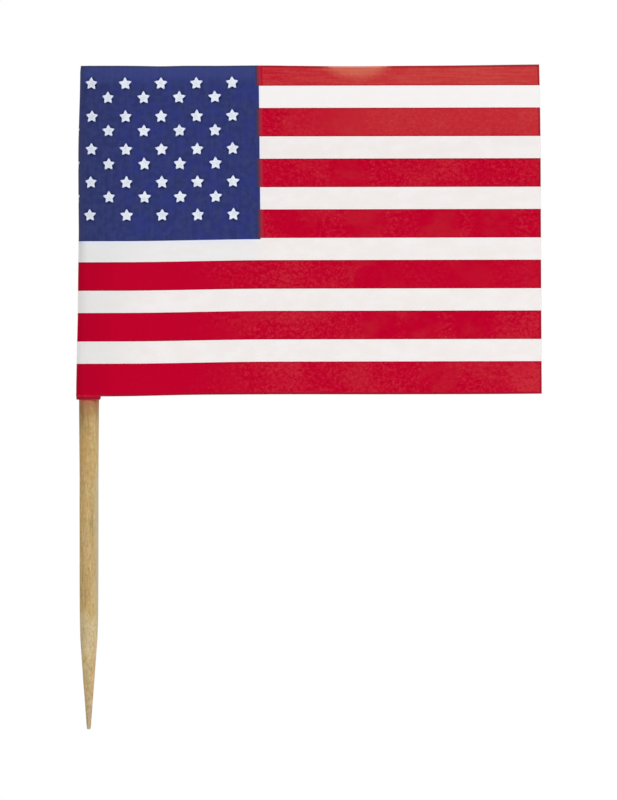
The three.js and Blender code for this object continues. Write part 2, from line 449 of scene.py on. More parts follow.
pattern = {
    "bandTop": 1.985,  # the top band, cut narrow by the trim
    "paleBand": 2.185,
    "redBand": 2.811,
    "bands": 13,
    "fieldBands": 7,
    "fieldEdge": 16.75,
    "fieldBleed": 0.12,  # the blue runs this far below its band
    "redTones": [(190, 0, 42), (174, 0, 32), (198, 40, 56)],  # plain, deep and light spots
    "blueTones": [(44, 52, 103), (53, 61, 112), (46, 53, 131)],  # dark, pale and vivid patches
    "paperTones": [(241, 237, 236), (238, 232, 230)],  # clear and dull patches
    "starTones": [(229, 236, 245), (214, 221, 233)],
    "overprint": 0.36,  # blue and red run into each other this far on either side of the edge
    "sag": 0.172,  # near the pick the print hangs this much lower
    "sagStart": 3,
    "sagEnd": 17.7,
    "tilt": 0.002,
    "lean": 0.011,  # columns lean by this much for each millimetre down
    "leanHeight": 62.7,
    "uprightHeight": 57,  # at this height the back print lies where the paper's length puts it
    "starPitch": 3.503,
    "fiveRow": (0.09, 63.735, 3.242, 5),  # first column, top row, row pitch, rows
    "fourRow": (1.88, 62.35, 3.267, 4),
    "firstColumn": [(0, 0.16), (1, 0.18), (2, 0.1), (3, 0.01), (4, -0.12)],  # row, drift towards the fly
    "foldColumn": -0.2,  # drift of the stars that lie on the fold
    "starTilt": 0.0055,  # rows of stars run down by this much for each millimetre from the fold
    "nearPickSize": 0.96,  # stars beside the pick have come out smaller
    "trimDarkening": 0.3,  # the ink is darker this near to the trimmed edge
    "starRadius": 0.652,
    "starWaist": 0.56,
    "starBlunt": 0.885,  # the ink has crept round the points
    "starPoint": 0.14,
    "starCreep": 0.16,  # blue has crept this far into a star
    "inkPool": 0.32,  # the blue lies thicker this far round a star, most of all in its notches
    "redPlaces": [  # along, height, reach, and how much grainier the red is there
        (24.9, 59.9, 2.8, -0.15), (25.5, 54.9, 2.4, -0.09), (35.5, 54.9, 2.2, 0.04),
        (20.5, 49.9, 3.4, -0.06), (27, 49.9, 2.6, -0.12), (34.4, 49.9, 2.6, -0.15),
        (39.6, 49.9, 2.8, -0.13), (20, 44.8, 3, 0.04), (28.2, 44.8, 3.2, -0.07),
        (37.4, 44.8, 2.8, -0.14), (20, 39.8, 3.2, 0.02), (28.4, 39.8, 2.4, -0.13),
        (32.4, 39.8, 2.6, -0.09), (37.6, 39.8, 2.6, -0.11), (43.2, 39.8, 1.8, 0.05),
        (19, 34.7, 3.2, 0.05), (29.5, 34.7, 2.6, 0.02), (34.2, 34.7, 2.2, -0.07),
        (42.8, 34.7, 2.8, 0.09),
    ],
}

mouthHeight = flagLow[2] + paper["mouth"]
flagTop = flagHigh[2]
leafDepth = -flagLow[1]
foldLine = pattern["fourRow"][0] - pattern["starPitch"]  # the print mirrors at the left side of the pick


def sleeveRadius(z):
    return smoothLine(paper["sleeve"], z)


def footHeight(x):
    return smoothLine(paper["trimFoot"], x)


def topHeight(x):
    return flagTop + smoothLine(paper["trimTop"], x)


def flyReach(z):
    return smoothLine(paper["trimFly"], z)


# How the front leaf leaves the pick at a height: hugging radius, angle, and the run to the flat plane
def frontDeparture(z):
    hug = pickRadius(np.minimum(z, 64.8)) + paper["hug"]
    atMouth, atTop = paper["leaving"]
    angle = np.radians(atMouth + (atTop - atMouth) * ((z - mouthHeight) / (flagTop - mouthHeight)))
    run = 2 * (leafDepth - hug * np.cos(angle)) / np.tan(angle)
    return hug, angle, run


# The back leaf's bend as a cubic curve: its four corners, each an array of x and y
def backBend(z):
    radius = sleeveRadius(z)
    end = math.radians(paper["wrapEnd"])
    start = np.stack([-radius * math.sin(end), -radius * math.cos(end)], -1)
    backDepth = leafDepth - 2 * paper["thickness"] - paper["filmThickness"]
    stop = np.stack([radius + paper["backRun"], np.full_like(radius, -backDepth)], -1)
    pull = 0.4 * np.linalg.norm(stop - start, axis=-1)[:, None]
    leaving = np.array([-math.cos(end), math.sin(end)])
    return start, start + pull * leaving, stop - pull * np.array([1, 0]), stop


def bendPoint(corners, t):
    a, b, c, d = corners
    t = t[:, None]
    point = a * (1 - t) ** 3 + 3 * b * t * (1 - t) ** 2 + 3 * c * t * t * (1 - t) + d * t**3
    along = 3 * ((b - a) * (1 - t) ** 2 + 2 * (c - b) * t * (1 - t) + (d - c) * t * t)
    return point, unit(along)


# Lengths along the strip, from the front of the pick back to where the wrap and the back bend end
def stripLengths(z):
    hug, angle, _ = frontDeparture(z)
    wrapStart = hug * np.sin(angle)
    wrapEnd = wrapStart + (math.radians(paper["wrapEnd"]) - angle) * sleeveRadius(z)
    corners = backBend(z)
    steps = [bendPoint(corners, np.full_like(z, t))[0] for t in np.linspace(0, 1, 17)]
    pieces = [np.linalg.norm(b - a, axis=-1) for a, b in zip(steps, steps[1:])]
    gone = np.concatenate([np.zeros((1, len(z))), np.cumsum(pieces, axis=0)])
    return wrapStart, wrapEnd, gone


# Relief of the printed face along its own facing: the rolled lip, the pinch over the head, small creases
def sheetRelief(s, z):
    radius = sleeveRadius(z)
    onSleeve = ease((paper["lipReach"] + 0.5 - s) / 0.5) * ease(s + 5.6 * radius)
    fromMouth = np.clip((z - mouthHeight) / paper["lipHeight"], 0, 1)
    wave = 1 + 0.3 * unevenness(s * 1.9, s * 0.7, 4)
    lip = -paper["lipRoll"] * onSleeve * (1 - fromMouth) ** 2 * wave
    ridge = 0.02 * onSleeve * bump(z, mouthHeight + paper["lipHeight"] + 0.08, 0.14)
    turn = np.clip(-s / (2 * radius), 0, math.pi / 2 * 1.2)
    overHead = ease((z - (pickHigh[2] - 0.25)) / 0.62)
    pinch = paper["headPinch"] * overHead * np.sin(2 * turn).clip(0) ** 2
    creases = 0.006 * unevenness(s * 1.3, z * 0.9, 1) * ease((s + 8) / 3)
    return lip + ridge - pinch + creases


# The whole leaf's gentle bow, shared by both leaves, which leans its edges back
def leafBow(x, z):
    clear = ease((x - 1.5) / 7)
    curl = paper["topCurl"] * np.clip((z - (flagTop - 8)) / 8, 0, 1.2) ** 2
    fly = paper["flyCurl"] * np.clip((x - 37) / 7.5, 0, 1.2) ** 2
    wave = 0.05 * (1 + np.sin(x * 0.23 + 0.6) * np.cos(z * 0.12 - 0.4)) * ease((x - 3) / 10)
    return clear * curl + fly + wave


# Place of the printed face for a point s along the strip and z up it. s is 0 at the front of the pick.
def foldedStrip(s, z):
    hug, angle, run = frontDeparture(z)
    wrapStart, wrapEnd, gone = stripLengths(z)
    radius = sleeveRadius(z)

    # front leaf, flat or on its way to the pick
    left = (run - wrapStart - s).clip(0)
    steep = np.tan(angle) / (2 * run)
    front = np.stack([s, -leafDepth + steep * left**2], -1)
    frontFacing = np.stack([-2 * steep * left, -np.ones_like(s)], -1)

    # round the pick
    turn = angle + (-s - wrapStart).clip(0) / radius
    reach = hug + (radius - hug) * ease(turn / (math.pi / 2))
    wrapFacing = np.stack([-np.sin(turn), -np.cos(turn)], -1)
    wrap = reach[:, None] * wrapFacing

    # back bend, read by its length, and the back leaf
    past = (-s - wrapEnd).clip(0)
    cell = np.clip((gone < past).sum(0) - 1, 0, len(gone) - 2)
    column = np.arange(len(s))
    inCell = (past - gone[cell, column]) / (gone[cell + 1, column] - gone[cell, column])
    bend, along = bendPoint(backBend(z), np.clip((cell + inCell) / (len(gone) - 1), 0, 1))
    bend[:, 0] += (past - gone[-1]).clip(0)
    bendFacing = np.stack([-along[:, 1], along[:, 0]], -1)

    onFront = (s >= -wrapStart)[:, None]
    onWrap = ~onFront & (-s <= wrapEnd)[:, None]
    place = np.where(onFront, front, np.where(onWrap, wrap, bend))
    facing = unit(np.where(onFront, frontFacing, np.where(onWrap, wrapFacing, bendFacing)))
    x, y = (place + facing * sheetRelief(s, z)[:, None]).T
    return np.stack([x, y + leafBow(x, z) * ~onWrap[:, 0], z], -1)


# The print went on a little crooked: near the pick it hangs lower, and its columns lean
def printSag(p):
    start, end = pattern["sagStart"], pattern["sagEnd"]
    return -pattern["sag"] * (1 - ease((p - start) / (end - start)))


# The loose mouth takes more paper than the head. The back leaf's columns are kept upright all the same.
def bendTaken(z):
    _, wrapEnd, gone = stripLengths(z)
    return wrapEnd + gone[-1] - sleeveRadius(z)


levels = np.linspace(31, 67, 145)
slipTable = bendTaken(levels) - bendTaken(np.array([pattern["uprightHeight"]]))


def backSlip(s, z):
    return np.interp(z, levels, slipTable) * ease((-1.7 - s) / 4.2)


def printToStrip(p, q):
    z = q + printSag(p) + pattern["tilt"] * p
    across = p + pattern["lean"] * (pattern["leanHeight"] - q)
    s = across
    for _ in range(12):
        s = across - backSlip(s, z)
    return s, z


def stripToPrint(s, z):
    across = s + backSlip(s, z)
    p = across - pattern["lean"] * (pattern["leanHeight"] - z)
    q = z - printSag(p) - pattern["tilt"] * p
    return p - pattern["lean"] * (z - q), q


def printedFace(p, q):
    return foldedStrip(*printToStrip(p, q))


# Place and normal of each point of the printed face
def facePlaces(p, q):
    small = 0.004
    here = printedFace(p, q)
    alongP = printedFace(p + small, q) - printedFace(p - small, q)
    alongQ = printedFace(p, q + small) - printedFace(p, q - small)
    return here, unit(np.cross(alongP, alongQ))


# Outline of the trimmed strip, anticlockwise in the print's own plane
def stripOutline():
    lip = paper["lipReach"]

    # Where a point of the back leaf or its bend lies along the strip
    def behind(x, z):
        height = np.array([z])
        _, wrapEnd, gone = stripLengths(height)
        bend, _ = bendPoint([corner.repeat(17, 0) for corner in backBend(height)], np.linspace(0, 1, 17))
        past = np.interp(x, bend[:, 0], gone[:, 0]) + max(x - bend[-1, 0], 0)
        return (-(wrapEnd[0] + past), z)

    heights = np.linspace(footHeight(44.5), topHeight(44.3), 24)
    fly = [(flyReach(z), z) for z in heights]
    frontFoot = [(x, footHeight(x)) for x in np.linspace(lip + 0.06, fly[0][0], 60)]
    frontTop = [(x, topHeight(x)) for x in np.linspace(fly[-1][0], -1.5, 90)]
    backTop = [behind(x, topHeight(x)) for x in np.linspace(1, fly[-1][0], 70)]
    backFly = [behind(*point) for point in fly[::-1][1:-1]]
    backFoot = [behind(x, footHeight(x)) for x in np.linspace(fly[0][0], lip + 0.06, 70)]
    backLip = behind(lip, mouthHeight)[0]
    mouth = [(s, mouthHeight + 0.01 * math.sin(2.1 * s)) for s in np.linspace(backLip, lip - 0.03, 46)]
    wayRound = frontFoot + fly[1:-1] + frontTop + backTop + backFly + backFoot + mouth
    s, z = np.array([*wayRound, (lip, mouthHeight + 0.04)]).T
    return np.stack(stripToPrint(s, z), -1)


def bandEdges():
    edges = [flagTop - pattern["bandTop"]]
    while len(edges) < pattern["bands"] - 1:
        edges.append(edges[-1] - (pattern["paleBand"] if len(edges) % 2 else pattern["redBand"]))
    return edges


# Middles of all the stars on the strip, front and back, which share one lattice across the fold
def starPlaces():
    places = []
    for first, top, drop, rows in (pattern["fiveRow"], pattern["fourRow"]):
        for row in range(rows):
            for column in range(-5, 5):
                p = first + column * pattern["starPitch"]
                if not foldLine * 2 - pattern["fieldEdge"] + 1.5 < p < pattern["fieldEdge"] - 1.5:
                    continue
                if rows == 5 and column == 0:
                    p += smoothLine(pattern["firstColumn"], row)
                if rows == 4 and column == -1:
                    p += pattern["foldColumn"]
                places.append((p, top - row * drop - pattern["starTilt"] * (abs(p - foldLine) - 7)))
    return places


def starOutline(middle, number):
    points = []
    turn = math.radians(2.5) * math.sin(number * 2.4)
    size = pattern["starRadius"] * (pattern["nearPickSize"] if foldLine + 1 < middle[0] < 3 else 1)
    for tip in range(5):
        angle = math.pi / 2 + turn + tip * 2 * math.pi / 5
        radius = size * (1 + 0.035 * math.sin(number * 5.3 + tip * 2.1))
        waist = size * pattern["starWaist"] * (1 + 0.05 * math.sin(number * 3.1 + tip * 1.3))
        for side in (-1, 0, 1):
            bluntness = radius * (pattern["starBlunt"] if side else 1)
            points.append((bluntness, angle + side * pattern["starPoint"]))
        points.append((waist, angle + math.pi / 5))
    return [(middle[0] + r * math.cos(a), middle[1] + r * math.sin(a)) for r, a in points]


# A closed line that lies inside an anticlockwise outline, at the same distance all round
def insetLine(outline, distance):
    steps = unit(np.roll(outline, -1, axis=0) - outline)
    inward = np.stack([-steps[:, 1], steps[:, 0]], -1)
    before = np.roll(inward, 1, axis=0)
    share = 1 + (inward * before).sum(-1).clip(-0.5)
    return outline + distance * (inward + before) / share[:, None]


# How near each point is to a closed line
def distanceTo(line, points):
    nearest = np.full(len(points), np.inf)
    for start, end in zip(line, np.roll(line, -1, axis=0)):
        step = end - start
        share = ((points - start) @ step / (step @ step)).clip(0, 1)
        nearest = np.minimum(nearest, np.linalg.norm(points - start - share[:, None] * step, axis=-1))
    return nearest


# For each point beside the edge of a star, how much blue has crept in, and how thick it lies
def nearStars(points):
    creep, pool = np.zeros((2, len(points)))
    for number, middle in enumerate(starPlaces()):
        near = np.nonzero(np.linalg.norm(points - middle, axis=-1) < 2 * pattern["starRadius"])[0]
        distance = distanceTo(np.array(starOutline(middle, number)), points[near])
        angle = np.arctan2(*(points[near] - middle).T[::-1])
        notch = 0.625 - 0.375 * np.cos(5 * (angle - math.pi / 2))
        below = 0.78 + 0.22 * np.cos(angle + math.radians(60))
        creep[near] = (1 - distance / pattern["starCreep"]).clip(0)
        pool[near] = notch * below * (1 - distance / pattern["inkPool"]).clip(0)
    return creep, pool


# Cuts the flat strip into triangles along every edge of the print. Returns the points, the triangles
# and, for each triangle, the names of the printed shapes that it lies in.
def cutStrip():
    points, edges, shapes, names = [], [], [], []

    def addShape(name, corners):
        start = len(points)
        points.extend(Vector(corner) for corner in corners)
        shapes.append(list(range(start, len(points))))
        names.append(name)

    def addBox(name, left, right, foot, top):
        addShape(name, [(left, foot), (right, foot), (right, top), (left, top)])

    def addLine(start, end):
        points.extend([Vector(start), Vector(end)])
        edges.append((len(points) - 2, len(points) - 1))

    outline = stripOutline()
    low, high = outline.min(0) - 0.5, outline.max(0) + 0.5
    addShape("sheet", outline)
    addShape("clear", insetLine(outline, pattern["trimDarkening"]))
    bands = [high[1], *bandEdges(), low[1]]
    for upper, lower in list(zip(bands, bands[1:]))[::2]:
        addBox("red", low[0], high[0], lower, upper)
    fieldFoot = bands[pattern["fieldBands"]] - pattern["fieldBleed"]
    front, back = pattern["fieldEdge"], 2 * foldLine - pattern["fieldEdge"]
    addBox("field", back, front, fieldFoot, high[1])
    wide = pattern["overprint"]
    for edge in (front, back):
        addBox("over", edge - wide, edge + wide, fieldFoot, high[1])
    for number, middle in enumerate(starPlaces()):
        star = starOutline(middle, number)
        addShape("star", star)
        addShape("core", insetLine(np.array(star), pattern["starCreep"]))
        addShape("pool", insetLine(np.array(star), -pattern["inkPool"]))

    # Lines that let the sheet bend, closest together where it goes round the pick
    bends = [np.linspace(-9.4, -6.2, 14), np.linspace(-6, 0.6, 60), np.linspace(0.8, 7.8, 24)]
    for p in np.concatenate([*bends, np.arange(-51, -9.6, 1.1), np.arange(8.8, 45, 1.1)]):
        addLine((p + 0.0007, low[1]), (p + 0.0007, high[1]))
    rims = [np.linspace(32.6, 33.4, 12), np.linspace(64.3, 65.9, 12)]
    for q in np.concatenate([*rims, np.arange(33.9, 64.2, 0.95)]):
        addLine((low[0], q + 0.0003), (high[0], q + 0.0003))
    found, _, triangles, _, _, owners = delaunay_2d_cdt(points, edges, shapes, 0, 1e-5, True)
    inside = [{names[owner] for owner in owned} for owned in owners]
    kept = [(tuple(triangle), held) for triangle, held in zip(triangles, inside) if "sheet" in held]
    return np.array([tuple(point) for point in found]), *zip(*kept)


# A value of each point of the print. Of printPlace it is how far the point is along the strip and up it.
# Of nearEdges it is how near the trim is, and how much blue has crept in or lies thick beside a star.
def readPrint(tree, name):
    return addNode("Attribute", {}, tree, attribute_name=name).outputs["Vector"]


def nearEdges(finish):
    return addNode("SeparateXYZ", {0: readPrint(finish.node_tree, "nearEdges")}).outputs


def startPrint(name):
    finish, tree = startFinish(name)
    place = readPrint(tree, "printPlace")
    along, height, _ = addNode("SeparateXYZ", {0: place}).outputs
    return finish, place, along, height


# Fibres and calender marks that every part of the sheet shares
def endPrint(finish, tone, place, gloss, smooth=0.55, rough=0.68):
    fibres = cloud(place, (2.5, 14, 1), distortion=2)
    felt = blend(fibres, cloud(place, (14, 2.5, 1), shift=(5, 1, 0), distortion=2), 0.5)
    ripple = cloud(place, (0.35, 0.5, 1), 2, (1, 9, 0))
    roughness = spread(felt, 0.35, 0.65, smooth, rough)
    return endFinish(finish, tone, roughness, gloss, (felt, 0.008), (ripple, 0.05))


# How unevenly the red lies: least beside the pick and at the fly end of the middle red band
def redUnevenness(along, height, coarse):
    ragged = plus(along, spread(coarse, 0.3, 0.7, 3, -3))
    calm = times(spread(height, 41.5, 42), spread(height, 47, 46.5), spread(along, 26, 31, 0, 0.5))
    uneven = combine("SUBTRACT", 1, calm)
    return times(spread(ragged, 9, 17, 0.05, 1), spread(coarse, 0.3, 0.5, 0.6, 1), uneven)


# Light grains in the red, more of them in some places than in others
def redGrains(place, mottle):
    grainy = blend(mottle, cloud(place, (4.2, 4.2, 1), 3, (6, 8, 0), 0.7), 0.55)
    for middle, level, reach, change in pattern["redPlaces"]:
        away = distanceFrom((middle, level, 0), place)
        grainy = plus(grainy, spread(away, 0.3 * reach, reach, change, 0))
    return spread(grainy, 0.47, 0.63, 0, 0.85)


# Ink squeezed out to both edges of each band, and to the trim
def squeezedInk(finish, height):
    pitch = pattern["paleBand"] + pattern["redBand"]
    aboveFoot = combine("SUBTRACT", height, flagTop - pattern["bandTop"] - pitch)
    inBand = combine("FLOORED_MODULO", aboveFoot, pitch)
    fromEdge = combine("MINIMUM", inBand, combine("SUBTRACT", pattern["redBand"], inBand))
    squeezed = times(spread(fromEdge, 0.04, 0.15, 0.6, 0), spread(height, 34.2, 34.4))
    return combine("MAXIMUM", squeezed, spread(nearEdges(finish)[0], 0.2, 0.45, 0, 0.6))


# Red ink is mottled away from the pick, and lies thin near the top and in one patch of it; there a
# painted sheen and highlight lie over it as well
def redInk():
    finish, place, along, height = startPrint("redInk")
    mottle = cloud(place, (2.2, 2.5, 1), 5, (4, 2, 0), 0.75)
    coarse = cloud(place, (0.24, 0.3, 1), 3, (1, 6, 0))
    streak = cloud(place, (0.25, 5, 1), 3, (7, 0, 3))
    mottled = redUnevenness(along, height, coarse)

    # It is thin in streaks near the top, with a painted sheen where the top leans back towards the light,
    # and a painted highlight in one bow-shaped patch that is brightest at the trim
    fromMiddle = combine("DIVIDE", combine("SUBTRACT", along, 26.4), 3.6)
    above = plus(height, spread(mottle, 0.35, 0.65, -0.1, 0.1), times(fromMiddle, fromMiddle, -1.25))
    thinInkAndSheen = plus(
        times(spread(coarse, 0.45, 0.65, 0, 0.05), mottled),
        times(spread(height, 57.6, 58.9, 0, 0.15), spread(along, 17, 29.5)),
        spread(height, 62.2, 63.6, 0, 0.08),
        times(spread(streak, 0.42, 0.65, 0, 0.14), spread(height, 62.4, 63.6)),
        spread(above, 63.6, 64.9, 0, 0.64),
    )
    topHighlight = times(spread(above, 64, 64.9), spread(height, 65, 65.2, 0, 0.5))

    # A dull mouth with painted shade where the lip rolls in and faces down, and a worn ridge above it
    onSleeve = spread(along, 1, 1.9, 1, 0)
    fleck = cloud(place, (2.6, 5, 1), 2, (0, 3, 1))
    ridge = times(spread(height, 32.9, 33), spread(height, 33.15, 33.05), onSleeve)
    darkFoot = times(spread(height, 32.86, 32.96, 0.85, 0), onSleeve)

    plain, deepTone, lightTone = pattern["redTones"]
    ink = coats(
        plain,
        (times(spread(mottle, 0.36, 0.5, 0.9, 0), mottled), deepTone),
        (times(redGrains(place, mottle), mottled), lightTone),
        (thinInkAndSheen, (207, 106, 86)),
        (topHighlight, (226, 150, 138)),
        (times(squeezedInk(finish, height), spread(topHighlight, 0, 0.3, 1, 0)), (140, 22, 38)),
        # painted shade: over the wood, where the sheet turns round the pick, the ink is darker
        (times(spread(along, -0.6, 3, 0.38, 0), spread(along, -1.3, -0.2)), (168, 0, 37)),
        (times(spread(fleck, 0.45, 0.68, 0.06, 0.3), ridge), (206, 92, 108)),
        # painted shade at the mouth, darkest towards its right corner
        (darkFoot, (148, 28, 46)),
        (times(darkFoot, spread(along, 0.3, 1)), (116, 24, 44)),
    )
    return endPrint(finish, ink, place, 0.015)


def blueInk():
    finish, place, along, height = startPrint("blueInk")
    mottle = cloud(place, (1.6, 1.6, 1), 4, (8, 3, 0))
    streak = cloud(place, (4, 0.15, 1), 3, (2, 9, 0))
    patchy = cloud(place, (0.7, 0.55, 1), 4, (9, 4, 0), 0.7)
    trim, _, pool = nearEdges(finish)
    dark, pale, vivid = pattern["blueTones"]
    ink = coats(
        dark,
        (spread(blend(mottle, streak, 0.7), 0.38, 0.62), pale),
        (times(spread(patchy, 0.42, 0.62), spread(along, 1, 5), 0.5), vivid),
        (spread(height, 63.4, 64.8, 0, 0.55), (62, 73, 132)),  # painted highlight under the top edge, where the top leans back towards the light
        (spread(along, -1.3, -0.3, 0.6, 0), (68, 72, 112)),  # painted highlight along the pick's side
        (spread(pool, 0, 0.75, 0, 0.9), (18, 22, 44)),
        (spread(trim, 0.3, 0.55, 0, 0.65), (56, 58, 78)),
    )
    return endPrint(finish, ink, place, 0.04)


# How far a point of the print is from the fold
def fromFold(along):
    return combine("ABSOLUTE", combine("SUBTRACT", along, foldLine), 0)


# On the red bands the two inks run into each other along the edge of the field
def blueOverRed():
    finish, place, along, height = startPrint("blueOverRed")
    patchy = spread(cloud(place, (2.5, 3.5, 1), 3, (5, 5, 0)), 0.35, 0.65, -0.04, 0.04)
    away = plus(fromFold(along), patchy, spread(height, 62, 65, 0, 0.08))
    edge = pattern["fieldEdge"] - foldLine
    steps = [
        (-0.4, -0.24, (64, 55, 88)), (-0.26, -0.12, (90, 52, 68)), (-0.14, -0.02, (122, 50, 67)),
        (-0.02, 0.09, (152, 46, 66)), (0.09, 0.2, (176, 36, 60)), (0.2, 0.34, (189, 6, 44)),
    ]
    layers = [(spread(away, edge + low, edge + high), tone) for low, high, tone in steps]
    return endPrint(finish, coats((48, 56, 108), *layers), place, 0.03)


def barePaper():
    finish, place, along, height = startPrint("barePaper")
    cloudy = cloud(place, (0.5, 0.8, 1), 5, (6, 1, 0), 0.6)
    fibre = cloud(place, (1.8, 8, 1), 3, (3, 3, 0), distortion=1.5)

    # A little blue has crept beside and below the field
    away = fromFold(along)
    edge = pattern["fieldEdge"] - foldLine
    foot = bandEdges()[pattern["fieldBands"] - 1]
    beside = times(spread(away, edge, edge + 0.28, 0.55, 0), spread(height, foot - 0.3, foot - 0.1))
    under = spread(away, edge - 0.8, edge + 0.1, 1, 0)
    below = times(under, spread(height, foot - 0.75, foot - 0.25, 0, 0.35))
    clear, dull = pattern["paperTones"]
    sheet = coats(
        clear,
        (spread(cloudy, 0.35, 0.65), dull),
        # painted shade: over the wood, where the sheet turns round the pick, the paper is greyer
        (times(spread(along, 0.5, 7, 0.6, 0), spread(along, -1.4, -0.3)), (223, 223, 222)),
        (spread(height, 58, 62, 0, 0.7), (245, 243, 242)),  # painted highlight: the top bands are lighter where the top leans back towards the light
        # painted light on the sleeve's left side, lifting its shading there
        (spread(along, -1.6, -0.6, 0.8, 0), (254, 253, 252)),
        (spread(fibre, 0.6, 0.75, 0, 0.1), (214, 208, 204)),
        (times(under, spread(height, foot - 2.4, foot - 2.2, 0, 0.4)), (226, 228, 230)),
        (combine("MAXIMUM", beside, below), (216, 226, 252)),
    )
    return endPrint(finish, sheet, place, 0.12, 0.62, 0.8)


def starPaper():
    finish, place, along, _ = startPrint("starPaper")
    cloudy = cloud(place, (1.6, 1.6, 1), 3, (2, 2, 0))
    creep = nearEdges(finish)[1]
    clear, dull = pattern["starTones"]
    sheet = coats(
        clear,
        (spread(cloudy, 0.4, 0.62), dull),
        # painted shade on the stars beside the pick
        (spread(along, 0.5, 5, 0.5, 0), (202, 210, 224)),
        (spread(creep, 0.05, 0.6, 0, 0.7), (236, 243, 254)),
        (spread(creep, 0.6, 1, 0, 0.7), (134, 144, 206)),
    )
    return endPrint(finish, sheet, place, 0.08, 0.6, 0.75)


def cutPaper():
    finish, place, _, height = startPrint("cutPaper")
    cloudy = spread(cloud(place, (5, 5, 1)), 0.35, 0.65)
    # the cut edge at the mouth takes the dark red of the painted shade at the mouth
    mouthShade = spread(height, 32.78, 32.9, 0.8, 0)
    sheet = coats((228, 218, 214), (cloudy, (206, 190, 186)), (mouthShade, (158, 46, 54)))
    return endPrint(finish, sheet, place, 0.2, 0.75, 0.9)


# The sheet as a closed shape. Its cut edge is rounded a little by a line of points half way through it.
def closeSheet(outer, facing, triangles, rim):
    outward = np.zeros_like(outer)
    for a, b in rim:
        outward[[a, b]] += unit(np.cross(outer[b] - outer[a], facing[a]))
    outward = unit(outward)
    inner = outer - facing * paper["thickness"]
    middle = (outer + inner) / 2 + outward * paper["cutRounding"]
    onRim = sorted({corner for edge in rim for corner in edge})
    count = len(outer)
    between = {old: 2 * count + i for i, old in enumerate(onRim)}
    faces = list(triangles)
    faces += [(a + count, c + count, b + count) for a, b, c in triangles]
    faces += [(b, a, between[a], between[b]) for a, b in rim]
    faces += [(between[b], between[a], a + count, b + count) for a, b in rim]
    return np.concatenate([outer, inner, middle[onRim]]), faces, onRim, outward


# Normals that follow the bent sheet exactly, so the cuts of the print don't show in its shading
def sheetNormals(facing, outward, onRim, corners, skin):
    count = len(facing)
    rest = corners[2 * skin:]
    own, out = facing[rest % count] * 0.6, outward[rest % count]
    halfWay = outward[np.array(onRim)[np.where(rest >= 2 * count, rest - 2 * count, 0)]]
    isOuter, isInner = (rest < count)[:, None], (rest < 2 * count)[:, None]
    edge = np.where(isOuter, out + own, np.where(isInner, out - own, halfWay))
    return unit(np.concatenate([facing[corners[:skin]], -facing[corners[skin:2 * skin] - count], edge]))


# What the finishes read at each point: its place on the print, and how near it is to an edge there
def markPoints(mesh, flat, onRim):
    count = len(flat)
    flat3 = np.concatenate([flat, np.zeros((count, 1))], axis=1)
    through = np.concatenate([flat3, flat3 + (0, 0, 3), flat3[onRim] + (0, 0, 1)])
    edges = np.zeros_like(through)
    edges[:count, 0] = (1 - distanceTo(stripOutline(), flat) / pattern["trimDarkening"]).clip(0)
    edges[:count, 1], edges[:count, 2] = nearStars(flat)
    for name, vectors in (("printPlace", through), ("nearEdges", edges)):
        layer = mesh.attributes.new(name, "FLOAT_VECTOR", "POINT")
        layer.data.foreach_set("vector", vectors.astype(np.float32).ravel())


# The ink on a triangle, from the printed shapes that it lies in
def inkOf(shapes):
    if "star" in shapes:
        return "star"
    if "over" in shapes and "red" in shapes:
        return "over"
    if "field" in shapes:
        return "blue"
    return "red" if "red" in shapes else "bare"


def makeFlag():
    flat, triangles, held = cutStrip()
    used = sorted({corner for t in triangles for corner in t})
    number = {old: new for new, old in enumerate(used)}
    flat = flat[used]
    triangles = [tuple(number[corner] for corner in t) for t in triangles]
    outer, facing = facePlaces(flat[:, 0], flat[:, 1])
    rim = freeEdges(triangles)
    points, faces, onRim, outward = closeSheet(outer, facing, triangles, rim)
    inks = {
        "bare": barePaper, "red": redInk, "blue": blueInk, "over": blueOverRed, "star": starPaper,
        "cut": cutPaper,
    }
    finishes = [makeInk() for makeInk in inks.values()]
    mesh = makePiece("printed_flag", points, faces, finishes, "paper_flag")
    laid = [inkOf(shapes) for shapes in held] + ["bare"] * len(triangles) + ["cut"] * 2 * len(rim)
    mesh.polygons.foreach_set("material_index", [list(inks).index(ink) for ink in laid])
    markPoints(mesh, flat, onRim)
    corners = np.array([corner for face in faces for corner in face])
    normals = sheetNormals(facing, outward, onRim, corners, 3 * len(triangles))
    mesh.normals_split_custom_set([tuple(normal) for normal in normals])
    mapFlat(mesh, flagMap(flat, triangles, len(rim), corners))


# Flat map of the flag: the printed halves, the unprinted ones small beside them, then the cut edges
def flagMap(flat, triangles, rimEdges, corners):
    seam = -2.3
    low = flat.min(0)
    middles = np.array([flat[list(t)].mean(0) for t in triangles])
    onFront = np.repeat(middles[:, 0] > seam, 3)
    skin = len(onFront)

    def lay(points, scale, left, frontFoot, backFoot):
        places = flat[points]
        across = np.where(onFront, places[:, 0] - seam, places[:, 0] - low[0]) * scale + left
        up = (places[:, 1] - low[1]) * scale + np.where(onFront, frontFoot, backFoot)
        return np.stack([across, up], -1)

    printed = lay(corners[:skin], 0.7 / 47.5, 0.005, 0.503, 0.004)
    inside = lay(corners[skin:2 * skin] - len(flat), 0.0055, 0.725, 0.22, 0.01)
    strips = []
    for half in range(2):
        for i in range(rimEdges):
            row, column = divmod(i, 80)
            left, right = 0.73 + 0.0032 * column, 0.73 + 0.0032 * (column + 1)
            foot = 0.45 + 0.02 * row + 0.01 * half
            strips += [(right, foot), (left, foot), (left, foot + 0.007), (right, foot + 0.007)]
    return np.concatenate([printed, inside, np.array(strips)])


makeFlag()
print("flag printed, cut and folded")

# Dried paste
paste = {
    "tone": (224, 214, 188),
    "deep": (196, 176, 138),
    "mouthGap": 0.2,
    "headGap": 0.15,
    "soak": 0.02,  # it reaches this far into the wood
    "behind": 0.55,  # share of its room that it fills where the back leaf has left the pick
    "filmInset": 0.5,
}


